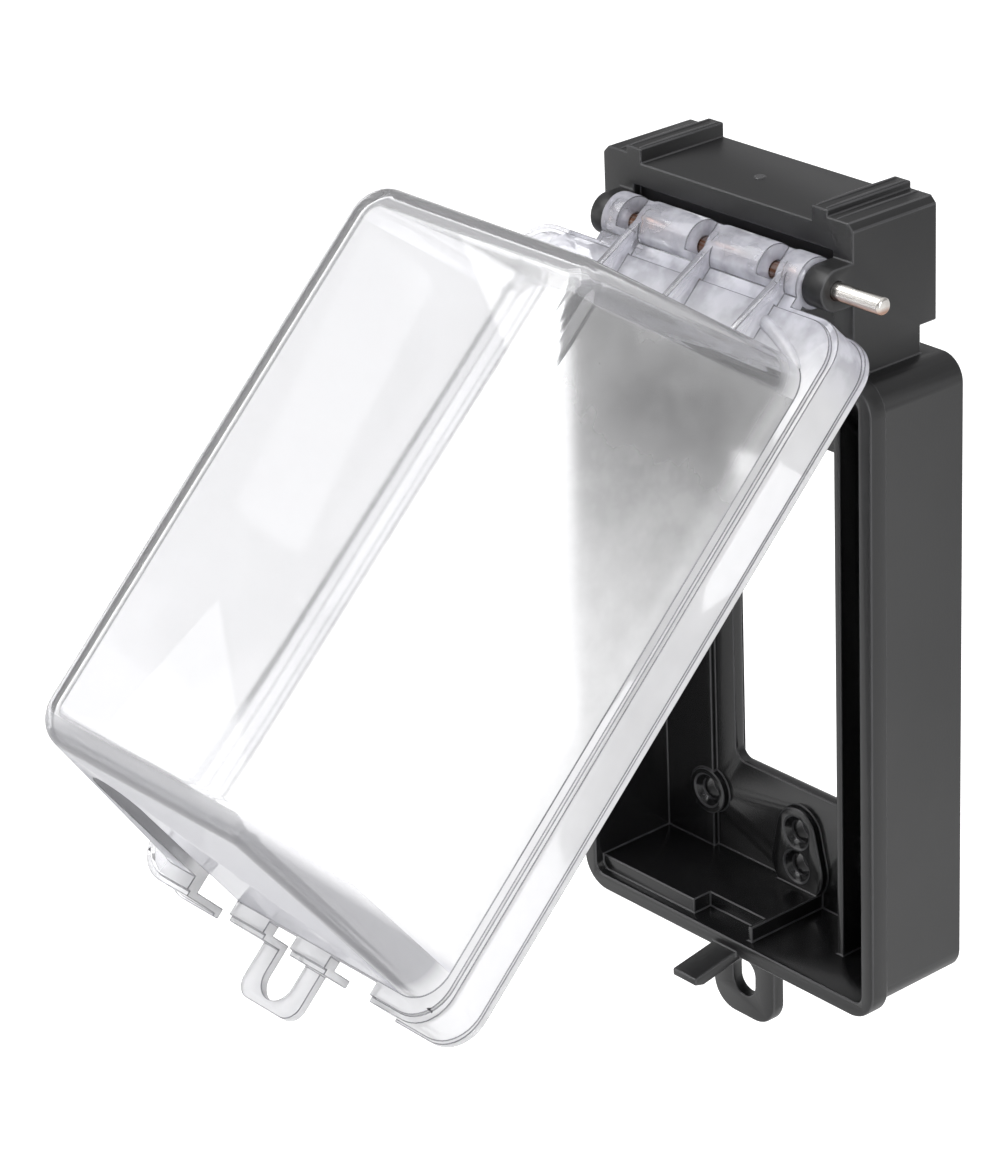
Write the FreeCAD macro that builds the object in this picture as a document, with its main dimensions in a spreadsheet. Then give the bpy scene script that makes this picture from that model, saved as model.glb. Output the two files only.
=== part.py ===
import FreeCAD, Part
import Sketcher
import math
import os
import re

from FreeCAD import Placement, Rotation, Vector

# Outdoor outlet cover of the while-in-use kind, single gang, standing open.
# Frame: X to the right, +Y into the wall, Z up. The origin is the centre of the
# device screws on the rear plane, where the cover meets its box.

doc = FreeCAD.newDocument("outlet_cover")

# Driving dimensions, in millimetres and degrees
SIZES = {
    # Base housing: tray that screws to the box
    "body_width": 70.8,
    "body_height": 114.4,
    "body_depth": 22.5,
    "body_corner": 4.5,
    "wall": 1.8,
    "lip_depth": 3.6,
    "lip_rise": 1.1,
    "plate_rear": 1.0,
    "plate_thick": 2.2,
    # Device opening and screw holes
    "window_width": 33.3,
    "window_height": 66.8,
    "window_corner": 2.5,
    "device_pitch": 83.3,
    "yoke_pitch": 96.8,
    "corner_pitch_x": 45.8,
    "corner_pitch_z": 83.3,
    "screw_hole": 3.9,
    "sink_depth": 1.2,
    "boss_width": 9.6,
    "corner_boss": 8.8,
    "boss_rise": 1.5,
    "strip_gap": 4.95,
    "strip_rise": 1.1,
    "rib_gap": 1.65,
    "rib_thick": 1.4,
    "rib_rise": 9.6,
    # Raised floor, latch tongue and padlock lug
    "step_height": 2.8,
    "step_right": 5.0,
    "step_front": 1.9,
    "notch_left": 9.7,
    "notch_right": 4.0,
    "notch_deep": 4.0,
    "tongue_width": 5.8,
    "tongue_reach": 9.8,
    "tongue_thick": 1.9,
    "tongue_drop": 1.8,
    "tongue_gap": 0.4,
    "lug_width": 15.4,
    "lug_thick": 2.4,
    "lug_front": 18.0,
    "lug_drop": 16.2,
    "lug_hole_width": 5.6,
    "lug_hole_height": 7.4,
    "lug_hole_place": 8.3,
    # Hinge block over the tray, with its visor, ribs and ears
    "block_inset": 6.1,
    "block_top": 81.9,
    "block_depth": 19.0,
    "block_wall": 2.2,
    "block_round": 2.4,
    "foot_depth": 3.7,
    "foot_height": 4.8,
    "visor_height": 4.0,
    "visor_depth": 1.6,
    "guard_reach": 9.3,
    "guard_width": 3.6,
    "guard_rise": 2.5,
    "shoulder_drop": 1.2,
    "ear_left": 3.2,
    "ear_radius": 3.6,
    # Hinge pin and its place
    "pin_out": 22.5,
    "pin_up": 73.2,
    "pin_diameter": 3.0,
    "pin_play": 0.05,
    "pin_proud": 10.4,
    "pin_stop": 0.7,
    # Lid: clear bubble on a stepped rim, measured from the pin
    "open_angle": 45.8,
    "barrel_radius": 4.4,
    "barrel_gap": 0.35,
    "lid_wall": 2.0,
    "lid_seat": 0.3,
    "lid_deep": 46.6,
    "shelf_side": 2.1,
    "shelf_top": 7.4,
    "shelf_end": 3.1,
    "taper_side": 8.0,
    "taper_top": 9.0,
    "taper_end": 6.2,
    "lid_corner": 6.5,
    "front_edge": 4.0,
    "rim_top": 5.6,
    "rim_thick": 1.8,
    "rim_corner": 7.0,
    "skirt_play": 0.4,
    "skirt_thick": 1.4,
    "skirt_side": 6.6,
    "skirt_end": 3.9,
    "bead_rise": 0.5,
    "bead_height": 1.4,
    "top_room": 3.0,
    "top_play": 1.2,
    "step_in": 0.9,
    "step_rise": 0.7,
    # Hinge plate, gussets and pin windows of the lid
    "leaf_thick": 2.4,
    "leaf_left": 7.7,
    "leaf_right": 4.9,
    "gusset_thick": 1.4,
    "gusset_first": -13.2,
    "gusset_pitch": 17.1,
    "gusset_out": 7.6,
    "slot_length": 4.0,
    "slot_first": -15.8,
    "slot_pitch": 16.6,
    # Cord openings and hasp at the lower end of the lid
    "cord_inner": 12.2,
    "cord_room": 0.5,
    "cord_outer": 23.4,
    "cord_reach": 36.0,
    "hasp_width": 14.6,
    "hasp_thick": 1.6,
    "hasp_place": 3.9,
    "hasp_drop": 9.1,
    "hasp_corner": 3.0,
    "hasp_slot": 6.8,
    "hasp_slot_drop": 7.5,
    # Foam gasket in the recess behind the plate
    "gasket_margin": 0.75,
    "gasket_inset": 0.2,
}

sizes = doc.addObject("Spreadsheet::Sheet", "Sizes")
for row, (alias, number) in enumerate(SIZES.items(), start=1):
    sizes.set(f"A{row}", alias.replace("_", " "))
    sizes.set(f"B{row}", str(number))
    sizes.setAlias(f"B{row}", alias)
doc.recompute()


def size(alias):
    """Number that a cell of the sheet holds."""
    return float(sizes.get(alias))


def bound(text):
    """Expression text with every size's name pointed at its cell."""
    return re.sub(r"[a-z]\w+", lambda word: "Sizes." + word.group(0), text)


def origin_plane(body, role):
    """One of the three planes of a body's own origin."""
    return next(item for item in body.Origin.OriginFeatures if item.Role == role)


def new_sketch(body, name, role, offset):
    """Empty sketch on an origin plane, moved along its normal by an expression."""
    sketch = body.newObject("Sketcher::SketchObject", name)
    sketch.AttachmentSupport = [(origin_plane(body, role), "")]
    sketch.MapMode = "FlatFace"
    sketch.setExpression("AttachmentOffset.Base.z", bound(offset))
    return sketch


def place_point(sketch, geometry, position, across, up):
    """Bind one point of a sketch to expressions for its two coordinates."""
    for kind, text in (("DistanceX", across), ("DistanceY", up)):
        index = sketch.addConstraint(Sketcher.Constraint(kind, -1, 1, geometry, position, 1.0))
        sketch.setExpression(f"Constraints[{index}]", bound(text))


def polygon(body, name, role, offset, points):
    """Closed outline whose corners are pairs of expressions."""
    sketch = new_sketch(body, name, role, offset)
    count = len(points)
    reach = size("wall")
    turn = [2 * math.pi * i / count for i in range(count)]
    start = [Vector(reach * math.cos(a), reach * math.sin(a), 0) for a in turn]
    for i in range(count):
        sketch.addGeometry(Part.LineSegment(start[i], start[(i + 1) % count]), False)
    for i in range(count):
        sketch.addConstraint(Sketcher.Constraint("Coincident", i, 2, (i + 1) % count, 1))
    for i, (across, up) in enumerate(points):
        place_point(sketch, i, 1, across, up)
    return sketch


def rectangle(body, name, role, offset, left, right, low, high):
    """Rectangle between two pairs of expressions."""
    corners = [(left, low), (right, low), (right, high), (left, high)]
    return polygon(body, name, role, offset, corners)


def circles(body, name, role, offset, centres, diameter):
    """Equal circles about centres given as expressions."""
    sketch = new_sketch(body, name, role, offset)
    for i, (across, up) in enumerate(centres):
        sketch.addGeometry(Part.Circle(Vector(i * size("wall"), 0, 0), Vector(0, 0, 1), size("wall")), False)
        place_point(sketch, i, 3, across, up)
        index = sketch.addConstraint(Sketcher.Constraint("Diameter", i, 2.0))
        sketch.setExpression(f"Constraints[{index}]", bound(diameter))
    return sketch


def stadium(body, name, role, offset, across, low, high, width, near):
    """Upright slot: two round ends whose centres stand at low and high, drawn near where they end up."""
    sketch = new_sketch(body, name, role, offset)
    low_end, high_end, round_end = near
    upper = Part.Circle(Vector(0, high_end, 0), Vector(0, 0, 1), round_end)
    lower = Part.Circle(Vector(0, low_end, 0), Vector(0, 0, 1), round_end)
    sketch.addGeometry(Part.ArcOfCircle(upper, 0, math.pi), False)
    sketch.addGeometry(Part.ArcOfCircle(lower, math.pi, 0), False)
    sketch.addGeometry(Part.LineSegment(Vector(-round_end, high_end, 0), Vector(-round_end, low_end, 0)), False)
    sketch.addGeometry(Part.LineSegment(Vector(round_end, low_end, 0), Vector(round_end, high_end, 0)), False)
    for first, end, second, start in ((0, 2, 2, 1), (2, 2, 1, 1), (1, 2, 3, 1), (3, 2, 0, 1)):
        sketch.addConstraint(Sketcher.Constraint("Tangent", first, end, second, start))
    place_point(sketch, 0, 3, across, high)
    place_point(sketch, 1, 3, across, low)
    index = sketch.addConstraint(Sketcher.Constraint("Diameter", 0, 2 * round_end))
    sketch.setExpression(f"Constraints[{index}]", bound(width))
    return sketch


def pad(body, name, sketch, length, both=False):
    """Pad a sketch along its plane's normal, or half to each side."""
    feature = body.newObject("PartDesign::Pad", name)
    feature.Profile = sketch
    feature.Midplane = both
    feature.setExpression("Length", bound(length))
    return settle(body, feature, 1)


def pocket(body, name, sketch, length, both=False):
    """Cut a sketch against its plane's normal, or half to each side."""
    feature = body.newObject("PartDesign::Pocket", name)
    feature.Profile = sketch
    feature.Midplane = both
    feature.setExpression("Length", bound(length))
    return settle(body, feature, -1)


def pocket_up(body, name, sketch, length):
    """Cut a sketch along its plane's normal."""
    feature = body.newObject("PartDesign::Pocket", name)
    feature.Profile = sketch
    feature.Reversed = True
    feature.setExpression("Length", bound(length))
    return settle(body, feature, -1)


def settle(body, feature, sign):
    """Recompute and see that a feature grew or cut its body as it should."""
    before = feature.BaseFeature.Shape.Volume if feature.BaseFeature else 0.0
    body.Tip = feature
    doc.recompute()
    change = feature.Shape.Volume - before
    if change * sign <= 0:
        raise RuntimeError(f"{feature.Name} changes its body by {change:.2f} mm3")
    return feature


def fillet(body, name, edges, radius):
    """Round named edges of the body's tip."""
    tip = body.Tip
    feature = body.newObject("PartDesign::Fillet", name)
    feature.Base = (tip, edges)
    feature.setExpression("Radius", bound(radius))
    body.Tip = feature
    doc.recompute()
    if not feature.isValid():
        raise RuntimeError(f"{name} fails on {edges}")
    return feature


def chamfer(body, name, edges, length):
    """Bevel named edges of the body's tip."""
    tip = body.Tip
    feature = body.newObject("PartDesign::Chamfer", name)
    feature.Base = (tip, edges)
    feature.setExpression("Size", bound(length))
    return settle(body, feature, -1)


def edges_where(body, test):
    """Names of the tip's edges that pass a test."""
    names = [f"Edge{i}" for i, edge in enumerate(body.Tip.Shape.Edges, start=1) if test(edge)]
    if not names:
        raise RuntimeError(f"no edge found after {body.Tip.Name}")
    return names


def along(axis, corners):
    """Test for a straight edge along an axis through one of some corners."""
    keep = [i for i in range(3) if i != axis]

    def test(edge):
        first, last = edge.Vertexes[0].Point, edge.Vertexes[-1].Point
        if edge.Curve.TypeId != "Part::GeomLine" or abs(first[axis] - last[axis]) < 0.01:
            return False
        return any(abs(first[keep[0]] - a) + abs(first[keep[1]] - b) < 0.02
                   and abs(last[keep[0]] - a) + abs(last[keep[1]] - b) < 0.02 for a, b in corners)
    return test


def four(half_width, half_height):
    """The four corners of a rectangle about the origin."""
    return [(x, z) for x in (-half_width, half_width) for z in (-half_height, half_height)]


def new_body(label):
    """Body named and labelled as its node."""
    body = doc.addObject("PartDesign::Body", label)
    body.Label = label
    return body



# Places that several pieces share, as expressions of the sizes
half_w = "body_width/2"
half_h = "body_height/2"
floor = "(plate_rear + plate_thick)"
block_x = "(body_width/2 - block_inset)"
leaf_l = f"({block_x} - leaf_left)"
leaf_r = f"({block_x} - leaf_right)"
rim_x = "(body_width/2 + lip_rise + skirt_play + skirt_thick)"
rim_v = "(body_height/2 + lip_rise + skirt_play + skirt_thick + pin_up)"
root_x = f"({rim_x} - shelf_side)"
root_top = "(rim_top + shelf_top)"
root_end = f"({rim_v} - shelf_end)"
front_x = f"({root_x} - taper_side)"
front_top = f"({root_top} + taper_top)"
front_end = f"({root_end} - taper_end)"

# Base housing: one moulding of tray, hinge block, tongue and lug
base = new_body("base_housing")

tray = rectangle(base, "TrayOutline", "XZ_Plane", "0*wall", f"-{half_w}", half_w, f"-{half_h}", half_h)
pad(base, "Tray", tray, "body_depth")
body_x = size("body_width") / 2
body_z = size("body_height") / 2
fillet(base, "TrayCorners", edges_where(base, along(1, four(body_x, body_z))), "body_corner")
rise = size("lip_rise")
lip = rectangle(base, "LipOutline", "XZ_Plane", "body_depth - lip_depth",
                f"-{half_w} - lip_rise", f"{half_w} + lip_rise", f"-{half_h} - lip_rise", f"{half_h} + lip_rise")
pad(base, "Lip", lip, "lip_depth")
fillet(base, "LipCorners", edges_where(base, along(1, four(body_x + rise, body_z + rise))), "body_corner + lip_rise")

cavity = rectangle(base, "CavityOutline", "XZ_Plane", "body_depth",
                   f"-{half_w} + wall", f"{half_w} - wall", f"-{half_h} + wall", f"{half_h} - wall")
pocket(base, "Cavity", cavity, f"body_depth - {floor}")
inner = four(body_x - size("wall"), body_z - size("wall"))
fillet(base, "CavityCorners", edges_where(base, along(1, inner)), "wall")

recess = rectangle(base, "RecessOutline", "XZ_Plane", "plate_rear",
                   f"-{half_w} + wall", f"{half_w} - wall", f"-{half_h} + wall", f"{half_h} - wall")
pocket(base, "GasketRecess", recess, "plate_rear")

# Raised floor at the left with a bay behind the tongue
step = rectangle(base, "StepOutline", "XZ_Plane", "plate_rear",
                 f"-{half_w} + wall", "step_right", f"-{half_h} + wall", f"-{half_h} + wall + step_height")
pad(base, "FloorStep", step, "body_depth - plate_rear - step_front")
bay = rectangle(base, "BayOutline", "XZ_Plane", "body_depth - step_front",
                "-notch_left", "notch_right", f"-{half_h} + wall", f"-{half_h} + wall + 2*step_height")
pocket(base, "LatchBay", bay, "notch_deep")

# Strips beside the device, and the tall rib at the right
for side, sign in (("Left", "-"), ("Right", "")):
    edges = (f"{sign}(window_width/2 + strip_gap)", f"{sign}({half_w} - wall)")
    left, right = edges if side == "Right" else (edges[1], edges[0])
    strip = rectangle(base, f"{side}StripOutline", "XZ_Plane", "plate_rear",
                      left, right, f"-{half_h} + wall", f"{half_h} - wall")
    pad(base, f"{side}Strip", strip, "plate_thick + strip_rise")
rib = rectangle(base, "RibOutline", "XZ_Plane", "plate_rear",
                "window_width/2 + rib_gap", "window_width/2 + rib_gap + rib_thick", f"-{half_h} + wall", f"{half_h} - wall")
pad(base, "TallRib", rib, "plate_thick + rib_rise")

# Bosses for the device screws and for the four corner screws
for side, sign in (("Lower", "-"), ("Upper", "")):
    ends = (f"{sign}device_pitch/2", f"{sign}yoke_pitch/2")
    low, high = (ends[1], ends[0]) if side == "Lower" else ends
    reach = sorted((size("device_pitch") / 2, size("yoke_pitch") / 2))
    near = (-reach[1], -reach[0]) if side == "Lower" else tuple(reach)
    pill = stadium(base, f"{side}PillOutline", "XZ_Plane", "plate_rear", "0*wall", low, high, "boss_width",
                   near + (size("boss_width") / 2,))
    pad(base, f"{side}Pill", pill, "plate_thick + boss_rise")
corner_holes = [(f"{a}corner_pitch_x/2", f"{b}corner_pitch_z/2") for a in ("", "-") for b in ("", "-")]
bosses = circles(base, "CornerBossOutline", "XZ_Plane", "plate_rear", corner_holes, "corner_boss")
pad(base, "CornerBosses", bosses, "plate_thick + boss_rise")

window = rectangle(base, "WindowOutline", "XZ_Plane", "body_depth",
                   "-window_width/2", "window_width/2", "-window_height/2", "window_height/2")
pocket(base, "Window", window, "body_depth")
opening = four(size("window_width") / 2, size("window_height") / 2)
fillet(base, "WindowCorners", edges_where(base, along(1, opening)), "window_corner")

# Hinge block: hollow from the rear, with a foot notch, visor, ribs and shoulders
block = polygon(base, "BlockProfile", "YZ_Plane", "0*wall", [
    ("-block_depth", f"{half_h} - wall/2"),
    ("0*wall", f"{half_h} - wall/2"),
    ("0*wall", "block_top"),
    ("-block_depth", "block_top"),
])
pad(base, "HingeBlock", block, f"2*{block_x}", both=True)
for side, sign in (("Right", ""), ("Left", "-")):
    shoulder = polygon(base, f"{side}ShoulderProfile", "XZ_Plane", "0*wall", [
        (f"{sign}({block_x} - guard_reach)", "block_top - block_wall"),
        (f"{sign}{block_x}", "block_top - block_wall"),
        (f"{sign}{block_x}", "block_top + guard_rise - shoulder_drop - block_round/2"),
        (f"{sign}({block_x} - block_round/2)", "block_top + guard_rise - shoulder_drop"),
        (f"{sign}({block_x} - guard_reach + guard_width)", "block_top + guard_rise - shoulder_drop"),
        (f"{sign}({block_x} - guard_reach + guard_width)", "block_top + guard_rise"),
        (f"{sign}({block_x} - guard_reach)", "block_top + guard_rise"),
    ])
    pad(base, f"{side}Guard", shoulder, "block_depth")
hollow = polygon(base, "BlockHollowProfile", "YZ_Plane", "0*wall", [
    ("-block_depth + block_wall + visor_depth", f"{half_h} + block_wall"),
    ("1*wall", f"{half_h} + block_wall"),
    ("1*wall", "block_top - block_wall"),
    ("-block_depth + block_wall + visor_depth", "block_top - block_wall"),
])
pocket(base, "BlockHollow", hollow, f"2*{block_x} - 2*block_wall", both=True)
foot = polygon(base, "FootNotchProfile", "YZ_Plane", "0*wall", [
    ("-foot_depth", half_h),
    ("1*wall", half_h),
    ("1*wall", f"{half_h} + foot_height"),
    ("-foot_depth", f"{half_h} + foot_height"),
])
pocket(base, "FootNotch", foot, f"2*{block_x} + 2*wall", both=True)

# Ears that carry the pin, and the room for the barrel under the visor
ear = [
    ("-pin_out", "pin_up + ear_radius"),
    ("-block_depth + block_wall", "pin_up + ear_radius"),
    ("-block_depth + block_wall", "pin_up - ear_radius"),
    ("-pin_out", "pin_up - ear_radius"),
]
room = polygon(base, "BarrelRoomProfile", "YZ_Plane", f"-{leaf_l} - barrel_gap", [
    ("-block_depth - wall", f"{half_h} + 2*lip_rise"),
    ("-block_depth + visor_depth", f"{half_h} + 2*lip_rise"),
    ("-block_depth + visor_depth", "block_top - visor_height"),
    ("-block_depth - wall", "block_top - visor_height"),
])
pocket_up(base, "BarrelRoom", room, f"{leaf_l} + {leaf_r} + 2*barrel_gap")
for side, place, thick in (("Right", f"{leaf_r} + barrel_gap", "leaf_right - barrel_gap"),
                           ("Left", f"-{leaf_l} - barrel_gap - ear_left", "ear_left")):
    profile = polygon(base, f"{side}EarProfile", "YZ_Plane", place, ear)
    pad(base, f"{side}Ear", profile, thick)
    nose = circles(base, f"{side}NoseProfile", "YZ_Plane", place, [("-pin_out", "pin_up")], "2*ear_radius")
    pad(base, f"{side}Nose", nose, thick)
bore = circles(base, "PinBoreProfile", "YZ_Plane", f"{block_x} + wall", [("-pin_out", "pin_up")],
               "pin_diameter + 2*pin_play")
pocket(base, "PinBore", bore, f"{block_x} + wall + {leaf_l} + barrel_gap + ear_left - pin_stop")

# Latch tongue, and the lug for a padlock behind it
tongue = polygon(base, "TongueProfile", "YZ_Plane", "0*wall", [
    ("-body_depth + wall", f"-{half_h} + wall/2"),
    ("-body_depth", f"-{half_h} - tongue_gap/2"),
    ("-body_depth - tongue_reach", f"-{half_h} - tongue_drop"),
    ("-body_depth - tongue_reach", f"-{half_h} - tongue_drop - 0.7*tongue_thick"),
    ("-body_depth - 0.8*tongue_reach", f"-{half_h} - tongue_drop - tongue_thick"),
    ("-body_depth + wall", f"-{half_h} - tongue_thick"),
])
pad(base, "LatchTongue", tongue, "tongue_width", both=True)
lug = rectangle(base, "LugOutline", "XZ_Plane", "lug_front - lug_thick",
                "-lug_width/2", "lug_width/2", f"-{half_h} - lug_drop", f"-{half_h} + wall/2")
pad(base, "PadlockLug", lug, "lug_thick")
low_corners = [(x * size("lug_width") / 2, -body_z - size("lug_drop")) for x in (-1, 1)]
fillet(base, "LugCorners", edges_where(base, along(1, low_corners)), "lug_width/3")
lug_middle = -body_z - size("lug_hole_place")
lug_half = size("lug_hole_height") / 2 - size("lug_hole_width") / 2
lug_hole = stadium(base, "LugHoleOutline", "XZ_Plane", "lug_front + wall", "0*wall",
                   f"-{half_h} - lug_hole_place - lug_hole_height/2 + lug_hole_width/2",
                   f"-{half_h} - lug_hole_place + lug_hole_height/2 - lug_hole_width/2", "lug_hole_width",
                   (lug_middle - lug_half, lug_middle + lug_half, size("lug_hole_width") / 2))
pocket(base, "LugHole", lug_hole, "lug_thick + 2*wall")

# Screw holes: through the plate, with a funnel in each boss
face = "(plate_rear + plate_thick + boss_rise)"
all_holes = [("0*wall", f"{s}{p}/2") for s in ("", "-") for p in ("device_pitch", "yoke_pitch")] + corner_holes
holes = circles(base, "ScrewHoleOutline", "XZ_Plane", face, all_holes, "screw_hole")
pocket(base, "ScrewHoles", holes, face)


def on_boss_face(edge):
    """Whether an edge is a screw hole's mouth in the face of its boss."""
    if edge.Curve.TypeId != "Part::GeomCircle":
        return False
    level = -(size("plate_rear") + size("plate_thick") + size("boss_rise"))
    return abs(edge.Curve.Radius - size("screw_hole") / 2) < 0.01 and abs(edge.Curve.Center.y - level) < 0.01


chamfer(base, "ScrewFunnels", edges_where(base, on_boss_face), "sink_depth")

# Lid: one clear moulding, drawn closed about the pin and turned open as a whole.
# In its own frame w runs outward (-Y) and v down the lid (-Z).
lid = new_body("lid")
bead = rectangle(lid, "BeadOutline", "XZ_Plane", "-skirt_side", f"-{rim_x} - bead_rise", f"{rim_x} + bead_rise",
                 f"-{rim_v} - bead_rise", "-rim_top + bead_rise")
pad(lid, "RimBead", bead, "bead_height")
rim = rectangle(lid, "RimOutline", "XZ_Plane", "-skirt_side", f"-{rim_x}", rim_x, f"-{rim_v}", "-rim_top")
pad(lid, "Rim", rim, "skirt_side + lid_seat + rim_thick")
ledge = rectangle(lid, "LedgeOutline", "XZ_Plane", "lid_seat", f"-{rim_x} + step_in", f"{rim_x} - step_in",
                  f"-{rim_v} + step_in", "-rim_top - step_in")
pad(lid, "RimLedge", ledge, "rim_thick + step_rise")
x_rim = body_x + rise + size("skirt_play") + size("skirt_thick")
v_rim = body_z + rise + size("skirt_play") + size("skirt_thick") + size("pin_up")
skirt = rectangle(lid, "SkirtRoomOutline", "XZ_Plane", "lid_seat", f"-{rim_x} + skirt_thick",
                  f"{rim_x} - skirt_thick", f"-{rim_v} + skirt_thick", "-rim_top - skirt_thick")
pocket(lid, "SkirtRoom", skirt, "lid_seat + skirt_side")
thick = size("skirt_thick")
room_corners = [(x, z) for x in (-x_rim + thick, x_rim - thick) for z in (-v_rim + thick, -size("rim_top") - thick)]
fillet(lid, "SkirtRoomCorners", edges_where(lid, along(1, room_corners)), "rim_corner - skirt_thick")
rim_corners = []
for more in (0.0, size("bead_rise"), -size("step_in")):
    for x in (-x_rim - more, x_rim + more):
        rim_corners.extend([(x, -v_rim - more), (x, -size("rim_top") + more)])
fillet(lid, "RimCorners", edges_where(lid, along(1, rim_corners)), "rim_corner")

bubble = lid.newObject("PartDesign::AdditiveWedge", "Bubble")
for name, text in {
    "Xmin": f"-{front_x}", "Xmax": front_x, "Zmin": f"-{front_end}", "Zmax": f"-{front_top}",
    "X2min": f"-{root_x}", "X2max": root_x, "Z2min": f"-{root_end}", "Z2max": f"-{root_top}",
    "Ymin": "-lid_deep", "Ymax": "-lid_seat",
}.items():
    bubble.setExpression(name, bound(text))
settle(lid, bubble, 1)


def bubble_edges(deep, inset):
    """Tests for the four slanted edges and the four front edges of a bubble."""
    half = x_rim - size("shelf_side") - size("taper_side") - inset
    top = size("rim_top") + size("shelf_top") + size("taper_top") + inset
    end = v_rim - size("shelf_end") - size("taper_end") - inset
    front = [(x * half, -z) for x in (-1, 1) for z in (top, end)]

    def at_front(vertex):
        point = vertex.Point
        return abs(point.y + deep) < 0.05 and any(abs(point.x - x) + abs(point.z - z) < 0.1 for x, z in front)

    def slanted(edge):
        marks = [at_front(vertex) for vertex in edge.Vertexes]
        return len(marks) == 2 and marks.count(True) == 1
    return slanted


def front_rim(deep):
    """Test for the edges that lie in the plane of a bubble's front face."""
    return lambda edge: all(abs(vertex.Point.y + deep) < 0.05 for vertex in edge.Vertexes) and \
        abs(edge.CenterOfMass.y + deep) < 0.05


deep = size("lid_deep")
fillet(lid, "BubbleCorners", edges_where(lid, bubble_edges(deep, 0.0)), "lid_corner")
fillet(lid, "BubbleFront", edges_where(lid, front_rim(deep)), "front_edge")

inside = lid.newObject("PartDesign::SubtractiveWedge", "BubbleRoom")
for name, text in {
    "Xmin": f"-{front_x} + lid_wall", "Xmax": f"{front_x} - lid_wall",
    "Zmin": f"-{front_end} + lid_wall", "Zmax": f"-{front_top} - lid_wall",
    "X2min": f"-{root_x} + lid_wall", "X2max": f"{root_x} - lid_wall",
    "Z2min": f"-{root_end} + lid_wall", "Z2max": f"-{root_top} - lid_wall",
    "Ymin": "-lid_deep + lid_wall", "Ymax": "-lid_seat + 0.01",
}.items():
    inside.setExpression(name, bound(text))
settle(lid, inside, -1)
deep = size("lid_deep") - size("lid_wall")
fillet(lid, "RoomCorners", edges_where(lid, bubble_edges(deep, size("lid_wall"))), "lid_corner - lid_wall")
fillet(lid, "RoomFront", edges_where(lid, front_rim(deep)), "front_edge - lid_wall/2")

# Where the skirt gives way to the hinge block and to the lug
top = rectangle(lid, "TopRoomOutline", "XZ_Plane", "-top_room", f"-{block_x} - top_play", f"{block_x} + top_play",
                f"-pin_up + {half_h} - 4*wall", "-rim_top + 2*bead_rise")
pocket(lid, "TopRoom", top, "skirt_side")
end = rectangle(lid, "EndRoomOutline", "XZ_Plane", "-skirt_end", "-cord_inner - cord_room", "cord_inner + cord_room",
                f"-{rim_v} - 2*bead_rise", f"-{rim_v} + 2*skirt_thick")
pocket(lid, "EndRoom", end, "skirt_side")

# Barrel, hinge plate and gussets
leaf = rectangle(lid, "LeafOutline", "XZ_Plane", "lid_seat + rim_thick - leaf_thick", f"-{leaf_l}", leaf_r,
                 "-rim_top - lid_wall", "0*wall")
pad(lid, "HingeLeaf", leaf, "leaf_thick")
barrel = circles(lid, "BarrelProfile", "YZ_Plane", f"-{leaf_l}", [("0*wall", "0*wall")], "2*barrel_radius")
pad(lid, "Barrel", barrel, f"{leaf_l} + {leaf_r}")
for i in range(3):
    web = polygon(lid, f"Gusset{i + 1}Profile", "YZ_Plane", f"gusset_first + {i}*gusset_pitch - gusset_thick/2", [
        ("-0.2*barrel_radius", "-0.5*barrel_radius"),
        ("-0.95*barrel_radius", "-0.1*barrel_radius"),
        ("-gusset_out", f"-{root_top} - 0.6*lid_wall"),
        ("-gusset_out", f"-{root_top} - 0.95*lid_wall"),
        ("-lid_seat", f"-{root_top} - 0.5*lid_wall"),
    ])
    pad(lid, f"Gusset{i + 1}", web, "gusset_thick")
bore = circles(lid, "BarrelBoreProfile", "YZ_Plane", "0*wall", [("0*wall", "0*wall")], "pin_diameter + 2*pin_play")
pocket(lid, "BarrelBore", bore, f"2*{block_x}", both=True)
for i in range(3):
    middle = f"slot_first + {i}*slot_pitch"
    slot = rectangle(lid, f"PinWindow{i + 1}Outline", "XZ_Plane", "2*barrel_radius", f"{middle} - slot_length/2",
                     f"{middle} + slot_length/2", "-0.62*barrel_radius", "1.2*barrel_radius")
    pocket(lid, f"PinWindow{i + 1}", slot, "2*barrel_radius - 0.1")

# Cord openings at both sides of the hasp, the left one broken out of the wall
for side, left, right in (("Left", "-cord_outer", "-cord_inner"), ("Right", "cord_inner", "cord_outer")):
    gap = rectangle(lid, f"{side}CordGapOutline", "XZ_Plane", "lid_seat + rim_thick + 2*step_rise", left, right,
                    f"-{rim_v} - 2*bead_rise", f"-{root_end}")
    pocket(lid, f"{side}CordGap", gap, "2*skirt_side + lid_seat + rim_thick")
cord = rectangle(lid, "CordSlotOutline", "XY_Plane", f"-{root_end} - lid_wall", "-cord_outer", "-cord_inner",
                 "-cord_reach + cord_outer/2 - cord_inner/2", "skirt_side")
cord_deep = "taper_end + 3*lid_wall"
pocket_up(lid, "CordSlot", cord, cord_deep)
arch = circles(lid, "CordArchOutline", "XY_Plane", f"-{root_end} - lid_wall",
               [("-cord_outer/2 - cord_inner/2", "-cord_reach + cord_outer/2 - cord_inner/2")],
               "cord_outer - cord_inner")
pocket_up(lid, "CordArch", arch, cord_deep)

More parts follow.
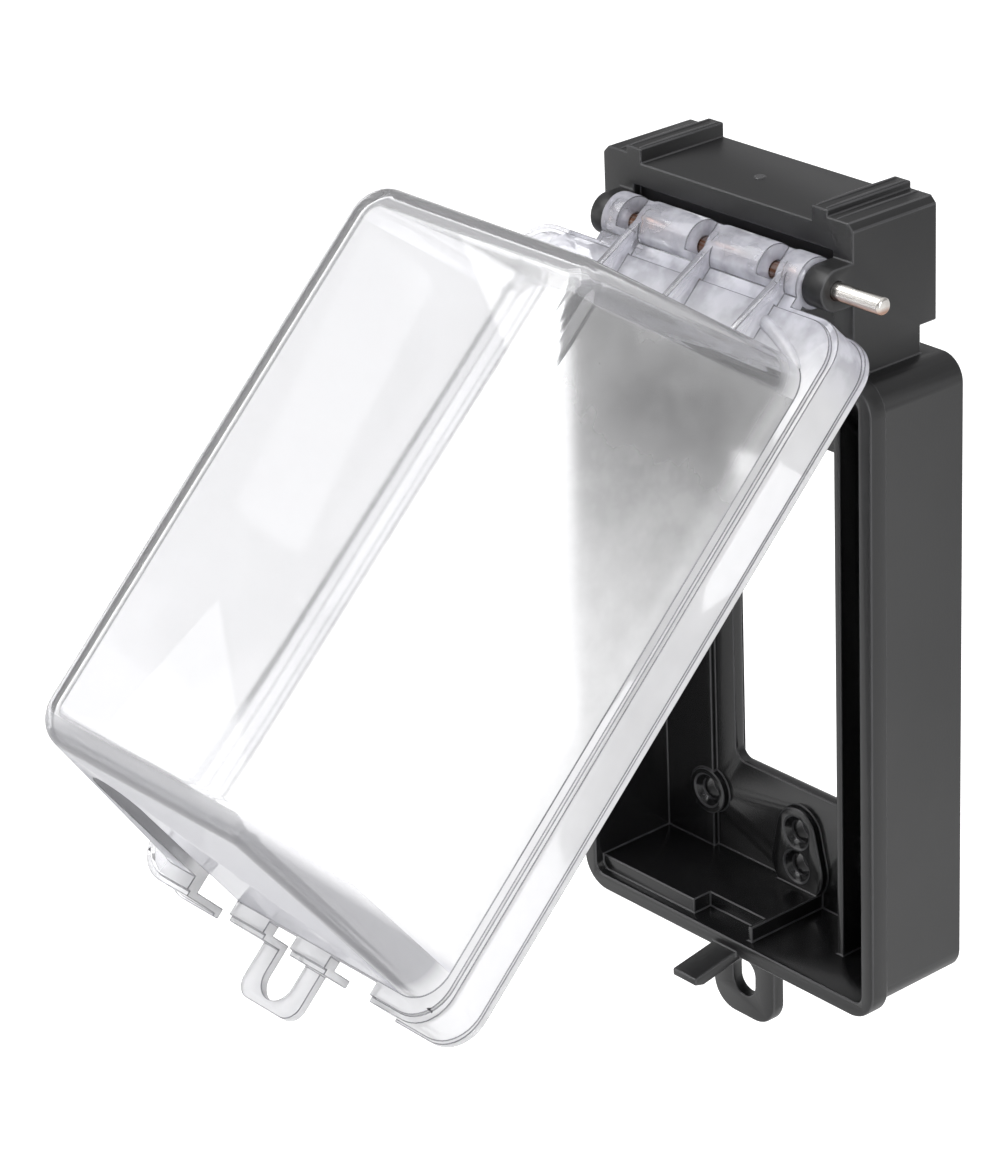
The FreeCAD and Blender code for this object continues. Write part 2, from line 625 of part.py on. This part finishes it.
# Hasp with its slot, through which the tongue passes
hasp = rectangle(lid, "HaspOutline", "XZ_Plane", "-hasp_place", "-hasp_width/2", "hasp_width/2",
                 f"-{rim_v} - hasp_drop", f"-{rim_v} + skirt_thick")
pad(lid, "Hasp", hasp, "hasp_thick")
tips = [(x * size("hasp_width") / 2, -v_rim - size("hasp_drop")) for x in (-1, 1)]
fillet(lid, "HaspCorners", edges_where(lid, along(1, tips)), "hasp_corner")
pass_slot = rectangle(lid, "HaspSlotOutline", "XZ_Plane", "lid_seat + rim_thick + 2*step_rise", "-hasp_slot/2",
                      "hasp_slot/2", f"-{rim_v} - hasp_slot_drop + hasp_slot/2", f"-{root_end}")
pocket(lid, "HaspSlot", pass_slot, "2*skirt_side")
slot_end = circles(lid, "HaspSlotEndOutline", "XZ_Plane", "lid_seat + rim_thick + 2*step_rise",
                   [("0*wall", f"-{rim_v} - hasp_slot_drop + hasp_slot/2")], "hasp_slot")
pocket(lid, "HaspSlotEnd", slot_end, "2*skirt_side")

lid.Placement = Placement(Vector(0, -size("pin_out"), size("pin_up")),
                          Rotation(Vector(-1, 0, 0), size("open_angle")))
lid.setExpression("Placement.Base.y", "-Sizes.pin_out")
lid.setExpression("Placement.Base.z", "Sizes.pin_up")
lid.setExpression("Placement.Rotation.Angle", "Sizes.open_angle")

# Hinge pin: loose in both ears and in the barrel, stopped at the left
pin = new_body("hinge_pin")
pin_left = f"-{leaf_l} - barrel_gap - ear_left + pin_stop"
rod = circles(pin, "PinProfile", "YZ_Plane", pin_left, [("-pin_out", "pin_up")], "pin_diameter")
pad(pin, "PinRod", rod, f"{block_x} + pin_proud - ({pin_left})")
rims = edges_where(pin, lambda edge: edge.Curve.TypeId == "Part::GeomCircle")
chamfer(pin, "PinEnds", rims, "pin_diameter/8")

# Foam gasket in the recess, with the holes of the plate
gasket = new_body("wall_gasket")
sheet = rectangle(gasket, "SheetOutline", "XZ_Plane", "0*wall", f"-{half_w} + wall + gasket_inset",
                  f"{half_w} - wall - gasket_inset", f"-{half_h} + wall + gasket_inset",
                  f"{half_h} - wall - gasket_inset")
pad(gasket, "Sheet", sheet, "plate_rear")
centre = rectangle(gasket, "CentreOutline", "XZ_Plane", "plate_rear", "-window_width/2 - gasket_margin",
                   "window_width/2 + gasket_margin", "-window_height/2 - gasket_margin",
                   "window_height/2 + gasket_margin")
pocket(gasket, "CentreHole", centre, "plate_rear")
relief = circles(gasket, "ScrewReliefOutline", "XZ_Plane", "plate_rear", all_holes, "screw_hole + gasket_margin")
pocket(gasket, "ScrewRelief", relief, "plate_rear")

doc.recompute()
os.makedirs("parts", exist_ok=True)
for item in doc.Objects:
    if "Invalid" in item.State or "Error" in item.State:
        raise RuntimeError(f"{item.Label}: {item.State}")
for node in (base, lid, pin, gasket):
    shape = node.Shape
    if not shape.isValid() or len(shape.Solids) != 1:
        raise RuntimeError(f"{node.Label}: {len(shape.Solids)} solids, valid {shape.isValid()}")
    shape.exportStep(f"parts/{node.Label}.step")
    box = shape.BoundBox
    print(node.Label, round(shape.Volume), [round(v, 2) for v in (box.XMin, box.XMax, box.YMin, box.YMax,
                                                                  box.ZMin, box.ZMax)])
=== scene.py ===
import math

import bmesh
import bpy
import numpy as np
from mathutils import Matrix, Vector


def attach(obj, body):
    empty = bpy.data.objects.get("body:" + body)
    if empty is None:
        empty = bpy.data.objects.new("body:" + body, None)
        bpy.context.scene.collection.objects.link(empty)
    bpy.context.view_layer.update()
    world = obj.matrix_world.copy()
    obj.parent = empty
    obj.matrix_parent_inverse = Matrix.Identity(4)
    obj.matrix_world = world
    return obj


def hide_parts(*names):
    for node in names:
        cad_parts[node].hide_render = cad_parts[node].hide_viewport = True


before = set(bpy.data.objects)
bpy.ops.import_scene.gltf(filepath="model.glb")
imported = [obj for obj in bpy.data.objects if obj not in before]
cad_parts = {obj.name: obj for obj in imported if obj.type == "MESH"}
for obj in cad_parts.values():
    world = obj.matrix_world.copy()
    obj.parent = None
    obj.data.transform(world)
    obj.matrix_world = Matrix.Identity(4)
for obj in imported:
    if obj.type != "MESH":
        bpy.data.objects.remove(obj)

scene = bpy.context.scene
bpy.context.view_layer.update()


# Base housing: the black moulding that screws round the outlet, with tray, lip, hinge
# block, ears, tongue and lug in one shot of polycarbonate. Outside it is satin from a
# lightly etched mould; the inside of the tray is left polished.

class Value:
    """Number on a surface; the usual operators on it add Math nodes."""

    def __init__(self, finish, output):
        self.finish = finish
        self.output = output

    def math(self, operation, *others):
        pairs = {i: other for i, other in enumerate((self,) + others)}
        return self.finish.node("ShaderNodeMath", {"operation": operation}, pairs)

    def __add__(self, other):
        return self.math("ADD", other)

    def __mul__(self, other):
        return self.math("MULTIPLY", other)

    def __sub__(self, other):
        return self.math("SUBTRACT", other)

    def __rsub__(self, other):
        return self.math("MULTIPLY", -1.0) + other

    def __gt__(self, other):
        return self.math("GREATER_THAN", other)

    def __lt__(self, other):
        return self.math("LESS_THAN", other)

    def __abs__(self):
        return self.math("ABSOLUTE")

    __radd__ = __add__
    __rmul__ = __mul__


class Finish:
    """Material whose nodes come from one method, on a Principled shader."""

    def __init__(self, name):
        self.material = bpy.data.materials.new(name)
        self.material.use_nodes = True
        self.tree = self.material.node_tree
        self.shader = next(n for n in self.tree.nodes if n.type == "BSDF_PRINCIPLED")

    def set(self, node, sockets):
        for key, value in sockets.items():
            if isinstance(value, Value):
                self.tree.links.new(value.output, node.inputs[key])
            else:
                node.inputs[key].default_value = value

    def node(self, kind, settings=None, sockets=None, out=0):
        made = self.tree.nodes.new(kind)
        for key, value in (settings or {}).items():
            setattr(made, key, value)
        self.set(made, sockets or {})
        return Value(self, made.outputs[out])

    def place(self):
        """Object coordinates as a vector and as its three numbers."""
        where = self.node("ShaderNodeTexCoord", out="Object")
        split = self.node("ShaderNodeSeparateXYZ", {}, {0: where}).output.node
        return (where,) + tuple(Value(self, split.outputs[i]) for i in range(3))

    def noise(self, where, scale, detail, rough=0.5):
        return self.node("ShaderNodeTexNoise", {}, {
            "Vector": where, "Scale": scale, "Detail": detail, "Roughness": rough})

    def ramp(self, value, low, high):
        """0 below low, 1 above high, and an even slope between them."""
        return self.node("ShaderNodeMapRange", {}, {
            "Value": value, "From Min": low, "From Max": high})

    def mix(self, factor, first, second):
        """Colour between two colours."""
        return self.node("ShaderNodeMix", {"data_type": "RGBA"},
                         {0: factor, 6: first, 7: second}, out=2)

    def bump(self, height, depth, strength):
        self.set(self.shader, {"Normal": self.node("ShaderNodeBump", {}, {
            "Strength": strength, "Distance": depth, "Height": height})})

    def wear(self, piece):
        """Give the whole piece this finish and no other."""
        piece.data.materials.clear()
        piece.data.materials.append(self.material)


def moulded_copy(node, name, round_edges):
    """Copy of a CAD node's skin: triangles merged, flats dissolved, edges rounded by a bevel
    of two steps wherever two faces meet at more than 28 degrees."""
    same_point = 1e-6
    almost_flat = math.radians(0.5)
    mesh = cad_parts[node].data.copy()
    mesh.name = name
    skin = bmesh.new()
    skin.from_mesh(mesh)
    bmesh.ops.remove_doubles(skin, verts=skin.verts, dist=same_point)
    bmesh.ops.dissolve_limit(skin, angle_limit=almost_flat, verts=skin.verts,
                             edges=skin.edges, delimit={"SHARP"})
    skin.to_mesh(mesh)
    skin.free()
    piece = bpy.data.objects.new(name, mesh)
    scene.collection.objects.link(piece)
    for face in mesh.polygons:
        face.use_smooth = True
    bevel = piece.modifiers.new("edge rounding", "BEVEL")
    bevel.width = round_edges
    bevel.segments = 2
    bevel.limit_method = "ANGLE"
    bevel.angle_limit = math.radians(28.0)
    bevel.harden_normals = True
    bevel.use_clamp_overlap = False
    return piece


tray_half_width, tray_half_height = 0.0338, 0.0557
tray_back, tray_mouth = -0.0011, -0.0226
black = Finish("black_plastic")
where, x, y, z = black.place()
inside = ((abs(x) < tray_half_width) * (abs(z) < tray_half_height)
          * (y < tray_back) * (y > tray_mouth))
cloud = black.noise(where, 38.0, 3.0)
grain = black.noise(where, 2600.0, 2.0, 0.6)
black.set(black.shader, {
    "Base Color": black.mix(cloud, (0.0065, 0.0065, 0.007, 1.0), (0.012, 0.012, 0.0125, 1.0)),
    "Roughness": 0.36 + 0.12 * cloud - 0.22 * inside,
    "Specular IOR Level": 0.5,
})
black.bump(grain, 0.00002, 0.5)

# The edges are painted a little lighter than the faces, a painted highlight where they
# catch the light, and they are smoother.
edge_highlight = Finish("black_edges")
highlight_cloud = edge_highlight.noise(edge_highlight.place()[0], 90.0, 3.0)
edge_highlight.set(edge_highlight.shader, {
    "Base Color": edge_highlight.mix(highlight_cloud, (0.032, 0.032, 0.034, 1.0), (0.070, 0.070, 0.073, 1.0)),
    "Roughness": 0.24,
})

housing_rounding = 0.00025
housing = moulded_copy("base_housing", "housing_shell", housing_rounding)
black.wear(housing)
# Its rounded edges wear the lighter colour, a painted highlight.
housing.data.materials.append(edge_highlight.material)
housing.modifiers["edge rounding"].material = 1
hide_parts("base_housing")
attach(housing, "housing")


def bead(name, path, side, up, across, rise):
    """Half-round bead carried along a path: every station is half an ellipse, across wide
    and rise high, scaled by the fourth root of a sine so that both ends run out to nothing."""
    along_path = np.linspace(0.0, 1.0, len(path))
    swell = np.clip(np.sin(np.pi * along_path), 0.0, 1.0) ** 0.25
    turn = np.linspace(0.0, np.pi, 13)
    sideways = (across * swell[:, None] * np.cos(turn))[..., None]
    upwards = (rise * swell[:, None] * np.sin(turn))[..., None]
    grid = path[:, None, :] + side[:, None, :] * sideways + up * upwards
    stations, points = grid.shape[:2]
    corner = np.arange(stations * points).reshape(stations, points)
    following = np.roll(corner, -1, axis=1)
    faces = np.stack((corner[:-1], corner[1:], following[1:], following[:-1]), axis=-1)
    mesh = bpy.data.meshes.new(name)
    mesh.from_pydata(grid.reshape(-1, 3).tolist(), [], faces.reshape(-1, 4).tolist())
    skin = bmesh.new()
    skin.from_mesh(mesh)
    bmesh.ops.remove_doubles(skin, verts=skin.verts, dist=2e-6)
    bmesh.ops.recalc_face_normals(skin, faces=skin.faces)
    skin.to_mesh(mesh)
    skin.free()
    for face in mesh.polygons:
        face.use_smooth = True
    piece = bpy.data.objects.new(name, mesh)
    scene.collection.objects.link(piece)
    return piece


# Each rib of the hinge block has two fine ridges on its top and one on its step, which run
# from front to rear and are sunk a little into it. Places are across and up.
rib_front, rib_top, rib_step = -0.0190, 0.0844, 0.0832
ridge_sunk, ridge_half_width, ridge_rise = 0.00003, 0.00034, 0.00028
ridge_places = ((-0.0229, rib_top), (-0.0207, rib_top), (-0.0254, rib_step),
                (0.0229, rib_top), (0.0207, rib_top), (0.0254, rib_step))
rearwards = np.linspace(rib_front, 0.0, 25)
sideways = np.tile((1.0, 0.0, 0.0), (25, 1))
for number, (across, up) in enumerate(ridge_places, start=1):
    path = np.stack((np.full(25, across), rearwards, np.full(25, up - ridge_sunk)), axis=1)
    ridge = bead(f"rib_ridge_{number}", path, sideways, np.array((0.0, 0.0, 1.0)),
                 ridge_half_width, ridge_rise)
    # The ridges wear the edges' lighter colour, a painted highlight.
    edge_highlight.wear(ridge)
    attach(ridge, "housing")

# Gate mark on the block's top, where the plastic was let into the mould: a profile of
# radius and rise turned once round an upright line, with a small disc to close its middle.
gate_centre = np.array((-0.0007, -0.0103, 0.0819))
gate_radius = np.array((0.0011, 0.00095, 0.00075, 0.0004, 0.00002))
gate_rise = np.array((-0.00002, 0.00016, 0.00016, 0.00004, 0.00002))
turn = np.linspace(0.0, 2 * np.pi, 49)[:-1]
rings = gate_centre + np.stack((np.outer(gate_radius, np.cos(turn)),
                                np.outer(gate_radius, np.sin(turn)),
                                np.repeat(gate_rise[:, None], 48, axis=1)), axis=-1)
corner = np.arange(5 * 48).reshape(5, 48)
following = np.roll(corner, -1, axis=1)
faces = np.stack((corner[:-1], following[:-1], following[1:], corner[1:]), axis=-1)
middle_disc = [corner[-1].tolist()]
mesh = bpy.data.meshes.new("gate_mark")
mesh.from_pydata(rings.reshape(-1, 3).tolist(), [], faces.reshape(-1, 4).tolist() + middle_disc)
gate = bpy.data.objects.new("gate_mark", mesh)
scene.collection.objects.link(gate)
# The gate mark wears the same lighter colour, a painted highlight.
edge_highlight.wear(gate)
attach(gate, "housing")


# Lid: clear polycarbonate moulded in one piece with its rim, hinge barrel and hasp. The
# big faces carry a fine frosting from the mould, while the rounded edges, the rim and the
# hinge end came out polished. It swings on the pin and stands open here.

OPEN = math.radians(45.8)
PIN = np.array((0.0, -0.0225, 0.0732))
OUT = np.array((0.0, -math.cos(OPEN), math.sin(OPEN)))
DOWN = np.array((0.0, -math.sin(OPEN), -math.cos(OPEN)))


def from_pin(direction, y, z):
    """Distance from the pin along a direction of the open lid: their dot product."""
    return ((y - float(PIN[1])) * float(direction[1])
            + (z - float(PIN[2])) * float(direction[2]))


def plastic(name, colour, transmission, depth):
    """Clear polycarbonate with a fine grain; its haze is set by the caller."""
    finish = Finish(name)
    speck = finish.noise(finish.place()[0], 1500.0, 2.0, 0.7)
    finish.set(finish.shader, {"Base Color": colour, "IOR": 1.5,
                               "Transmission Weight": transmission})
    finish.bump(speck, depth, 0.4)
    return finish


def veil(finish, share, colour):
    """Milky scatter in the plastic: a share of satin white mixed over the clear shader."""
    milk = finish.node("ShaderNodeBsdfPrincipled", {},
                       {"Base Color": colour, "Roughness": 0.35}, out="BSDF")
    clear = Value(finish, finish.shader.outputs[0])
    blended = finish.node("ShaderNodeMixShader", {}, {0: share, 1: clear, 2: milk})
    surface = next(n for n in finish.tree.nodes if n.type == "OUTPUT_MATERIAL")
    finish.set(surface, {"Surface": blended})


# The rim and the hinge end are thick and slightly milky, the bubble's edges are clear, and
# its foot is painted greyer, a painted shade. Each pair is where a change starts and ends,
# measured from the pin.
rim_ends = (0.0030, 0.0065)
foot_starts = (0.1190, 0.1225)
leaf_ends = (0.0060, 0.0180)
far_side_starts = (0.0260, 0.0330)
milk_white, leaf_lilac = (0.97, 0.97, 0.98, 1.0), (0.80, 0.80, 0.89, 1.0)
foot_shade_grey = (0.33, 0.33, 0.35, 1.0)
polished = plastic("clear_plastic", (0.93, 0.93, 0.95, 1.0), 0.93, 0.000004)
where, x, y, z = polished.place()
down, out = from_pin(DOWN, y, z), from_pin(OUT, y, z)
cloud = polished.noise(where, 60.0, 3.0)
rim = 1 - polished.ramp(out, *rim_ends)
foot = polished.ramp(down, *foot_starts) * (1 - rim)
leaf = 1 - polished.ramp(down, *leaf_ends)
far_side = polished.ramp(0 - x, *far_side_starts)
streak = polished.ramp(polished.noise(where, 220.0, 3.0), 0.40, 0.62)
milky = rim * (1 - 0.9 * far_side) * (0.34 + 0.30 * cloud - leaf * (0.26 - 0.24 * streak))
polished.set(polished.shader, {"Roughness": 0.03 + 0.05 * cloud})
# The grey mixed in at the foot is painted shade.
veil(polished, 0.03 + milky + 0.55 * foot,
     polished.mix(foot, polished.mix(leaf, milk_white, leaf_lilac), foot_shade_grey))

# The frosting lies on the side walls and grows milkier towards the lower end; the front is
# clear. The lower end is painted lilac grey, a painted shade.
side_starts = (0.0262, 0.0290)
milk_starts = (0.036, 0.068)
bottom_starts = (0.1215, 0.1245)
frost_clear, far_wall_grey = (0.975, 0.975, 0.977, 1.0), (0.85, 0.85, 0.85, 1.0)
frost_white, bottom_shade_lilac = (0.90, 0.90, 0.905, 1.0), (0.50, 0.50, 0.57, 1.0)
frosted = plastic("frosted_plastic", frost_clear, 0.90, 0.0000015)
where, x, y, z = frosted.place()
down = from_pin(DOWN, y, z)
right_side = frosted.ramp(x, *side_starts)
left_side = frosted.ramp(0 - x, *side_starts)
cloud = frosted.noise(where, 70.0, 4.0, 0.6)
patch = frosted.ramp(cloud, 0.36, 0.64)
bottom = frosted.ramp(down, *bottom_starts)
frosted.set(frosted.shader, {
    "Base Color": frosted.mix(left_side, frost_clear, far_wall_grey),
    "Roughness": (0.012 + 0.012 * cloud + right_side * (0.12 + 0.05 * cloud)
                  + 0.02 * left_side),
})
side_milk = right_side * (0.02 + 0.12 * patch + 0.55 * frosted.ramp(down, *milk_starts))
veil(frosted, 0.02 + 0.04 * cloud + side_milk + 0.40 * bottom,
     frosted.mix(bottom, frost_white, bottom_shade_lilac))

# Sharp edges of the moulding are painted darker, a painted reflection of the dark things round
# them.
dark_edge_reflection = plastic("plastic_edges", (0.32, 0.32, 0.34, 1.0), 0.70, 0.000002)
dark_edge_reflection.set(dark_edge_reflection.shader, {"Roughness": 0.18})

lid_rounding = 0.00016
cover = moulded_copy("lid", "lid_shell", lid_rounding)
polished.wear(cover)
cover.data.materials.append(frosted.material)
cover.data.materials.append(dark_edge_reflection.material)
# The rounded edges of the lid wear the darker colour, a painted reflection.
cover.modifiers["edge rounding"].material = 2


def frost_faces(mesh, least_area, deepest):
    """Give the frosting to big flats of the bubble whose outward side faces away from its
    middle: those with a positive dot product of their normal and their place seen from it."""
    count = len(mesh.polygons)
    centre = np.empty(count * 3)
    normal = np.empty(count * 3)
    area = np.empty(count)
    mesh.polygons.foreach_get("center", centre)
    mesh.polygons.foreach_get("normal", normal)
    mesh.polygons.foreach_get("area", area)
    centre = centre.reshape(-1, 3) - PIN
    normal = normal.reshape(-1, 3)
    middle = 0.072 * DOWN + 0.022 * OUT
    outward = ((centre - middle) * normal).sum(1) > 0
    frost = (area > least_area) & outward & (centre @ OUT > deepest)
    mesh.polygons.foreach_set("material_index", frost.astype(np.int32))


frost_faces(cover.data, least_area=4e-4, deepest=0.006)
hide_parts("lid")
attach(cover, "cover")

# Short curved swelling of the flange where the bubble's foot turns its upper right corner.
# It runs sideways at an even pace and drops away from the pin by a power of 1.7.
run = np.linspace(0.0, 1.0, 41)
from_middle = 0.0170 + 0.0165 * run
below_pin = 0.0088 + 0.0064 * run ** 1.7
flange_face = 0.00275
path = (PIN + from_middle[:, None] * np.array((1.0, 0.0, 0.0)) + below_pin[:, None] * DOWN
        + flange_face * OUT)
heading = np.gradient(path, axis=0)
heading /= np.linalg.norm(heading, axis=1)[:, None]
swelling = bead("flange_swelling", path, np.cross(OUT, heading), OUT, 0.0012, 0.0010)
polished.wear(swelling)
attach(swelling, "cover")


# Hinge pin: bright drawn steel rod with bevelled ends, pushed from the right through both
# ears and the barrel. Damp has browned the part inside the barrel, and the underside is
# darker and browner.

steel = Finish("pin_steel")
where, x, _, z = steel.place()
drawn = steel.node("ShaderNodeMapping", {}, {"Vector": where, "Scale": (30.0, 900.0, 900.0)})
streak = steel.noise(drawn, 2.0, 2.0)
barrel_end, underside = 0.0240, 0.0729
rust = steel.ramp(barrel_end - x, 0.0, 0.0010) * (0.5 + 0.5 * steel.ramp(streak, 0.4, 0.6))
rust_and_dark_underside = (0.8 * steel.ramp(underside - z, -0.0003, 0.0005)).math("MAXIMUM", rust)
bright = steel.mix(streak, (0.62, 0.59, 0.55, 1.0), (0.80, 0.78, 0.75, 1.0))
steel.set(steel.shader, {
    "Base Color": steel.mix(rust_and_dark_underside, bright, (0.33, 0.15, 0.08, 1.0)),
    "Metallic": 1.0,
    "Roughness": 0.16 + 0.14 * streak,
})
pin_rounding = 0.00012
rod = moulded_copy("hinge_pin", "pin_rod", pin_rounding)
steel.wear(rod)
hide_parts("hinge_pin")
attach(rod, "pin")


# Gasket: sheet of closed-cell foam, die-cut to the outline of the recess behind the plate
# and laid in it, where the screws press it against the wall.

foam = Finish("foam_rubber")
cells = foam.node("ShaderNodeTexVoronoi", {}, {"Vector": foam.place()[0], "Scale": 1900.0})
foam.set(foam.shader, {
    "Base Color": foam.mix(cells, (0.026, 0.026, 0.028, 1.0), (0.050, 0.050, 0.052, 1.0)),
    "Roughness": 0.86 + 0.1 * cells,
})
foam.bump(cells, 0.00006, 0.8)
gasket_rounding = 0.00012
sheet = moulded_copy("wall_gasket", "foam_sheet", gasket_rounding)
foam.wear(sheet)
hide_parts("wall_gasket")
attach(sheet, "housing")


# Floor and light: a pale floor well below the cover, a white surround, and three large soft
# lamps. Camera, mirrors and clear plastic see the floor white.

def white_seen(finish, strength):
    """Strength for the camera and through clear plastic, a third of it in mirrors, and
    nothing otherwise: the largest of the three kinds of ray."""
    rays = finish.node("ShaderNodeLightPath").output.node
    seen = Value(finish, rays.outputs["Is Camera Ray"]).math(
        "MAXIMUM", Value(finish, rays.outputs["Is Transmission Ray"]))
    return seen.math("MAXIMUM", Value(finish, rays.outputs["Is Glossy Ray"]) * 0.35) * strength


pale = Finish("floor")
pale.set(pale.shader, {
    "Base Color": (0.82, 0.82, 0.82, 1.0),
    "Roughness": 0.9,
    "Emission Color": (1.0, 1.0, 1.0, 1.0),
    "Emission Strength": white_seen(pale, 0.70),
})
bpy.ops.mesh.primitive_plane_add(size=30.0, location=(0, 0, -0.34))
floor = bpy.context.object
floor.name = "floor"
pale.wear(floor)

# The surround is white to the camera. To everything else it is shaded by height, as a
# studio is: height first, then shade.
studio_shades = ((0.02, 0.9), (0.2, 0.35), (0.6, 0.45), (0.9, 0.95))
world = bpy.data.worlds.new("surround")
scene.world = world
world.use_nodes = True
nodes, links = world.node_tree.nodes, world.node_tree.links
rays = nodes.new("ShaderNodeLightPath")
direction = nodes.new("ShaderNodeTexCoord")
split = nodes.new("ShaderNodeSeparateXYZ")
links.new(direction.outputs["Generated"], split.inputs[0])
bands = nodes.new("ShaderNodeValToRGB")
links.new(split.outputs["Z"], bands.inputs[0])
for height, shade in studio_shades:
    stop = bands.color_ramp.elements.new(height)
    stop.color = (shade, shade, shade * 1.01, 1.0)
bands.color_ramp.elements.remove(bands.color_ramp.elements[0])
seen = nodes.new("ShaderNodeMix")
seen.data_type = "RGBA"
links.new(rays.outputs["Is Camera Ray"], seen.inputs[0])
links.new(bands.outputs[0], seen.inputs[6])
seen.inputs[7].default_value = (1, 1, 1, 1)
links.new(seen.outputs[2], nodes["Background"].inputs["Color"])
nodes["Background"].inputs["Strength"].default_value = 1.0


def lamp(name, place, width, height, power):
    """Rectangular soft lamp at a place, turned to face the middle of the cover."""
    data = bpy.data.lights.new(name, "AREA")
    data.shape = "RECTANGLE"
    data.size = width
    data.size_y = height
    data.energy = power
    item = bpy.data.objects.new(name, data)
    item.location = place
    aim = Vector((0.0, -0.03, 0.0)) - Vector(place)
    item.rotation_euler = aim.to_track_quat("-Z", "Y").to_euler()
    scene.collection.objects.link(item)


lamp("top_soft", (-0.35, -0.45, 1.15), 0.9, 0.9, 9.0)
lamp("right_soft", (1.0, -0.15, 0.35), 0.7, 0.9, 5.0)
lamp("front_left", (-0.9, -1.0, 0.35), 0.6, 0.9, 2.6)


# Camera: a plain lens where the photograph was taken from, found by a fit to the housing's
# edges. It looks at a point beside the open lid, from the right, in front and above.

AZIMUTH, ELEVATION, ROLL = (math.radians(a) for a in (50.32, 24.78, -2.62))
TARGET = Vector((-0.04217, -0.0350, 0.00335))
AWAY = 0.7204
forward = Vector((-math.sin(AZIMUTH) * math.cos(ELEVATION),
                  math.cos(AZIMUTH) * math.cos(ELEVATION), -math.sin(ELEVATION)))
right_level = Vector((math.cos(AZIMUTH), math.sin(AZIMUTH), 0.0))
up_level = right_level.cross(forward)
right = right_level * math.cos(ROLL) + up_level * math.sin(ROLL)
up = -right_level * math.sin(ROLL) + up_level * math.cos(ROLL)
lens = bpy.data.cameras.new("camera")
lens.sensor_fit = "AUTO"
lens.sensor_width = 36.0
lens.lens = 126.8
lens.clip_start = 0.01
view = bpy.data.objects.new("camera", lens)
facing = Matrix((right, up, -forward)).transposed().to_4x4()
view.matrix_world = Matrix.Translation(TARGET - forward * AWAY) @ facing
scene.collection.objects.link(view)
scene.camera = view
scene.view_settings.view_transform = "Standard"
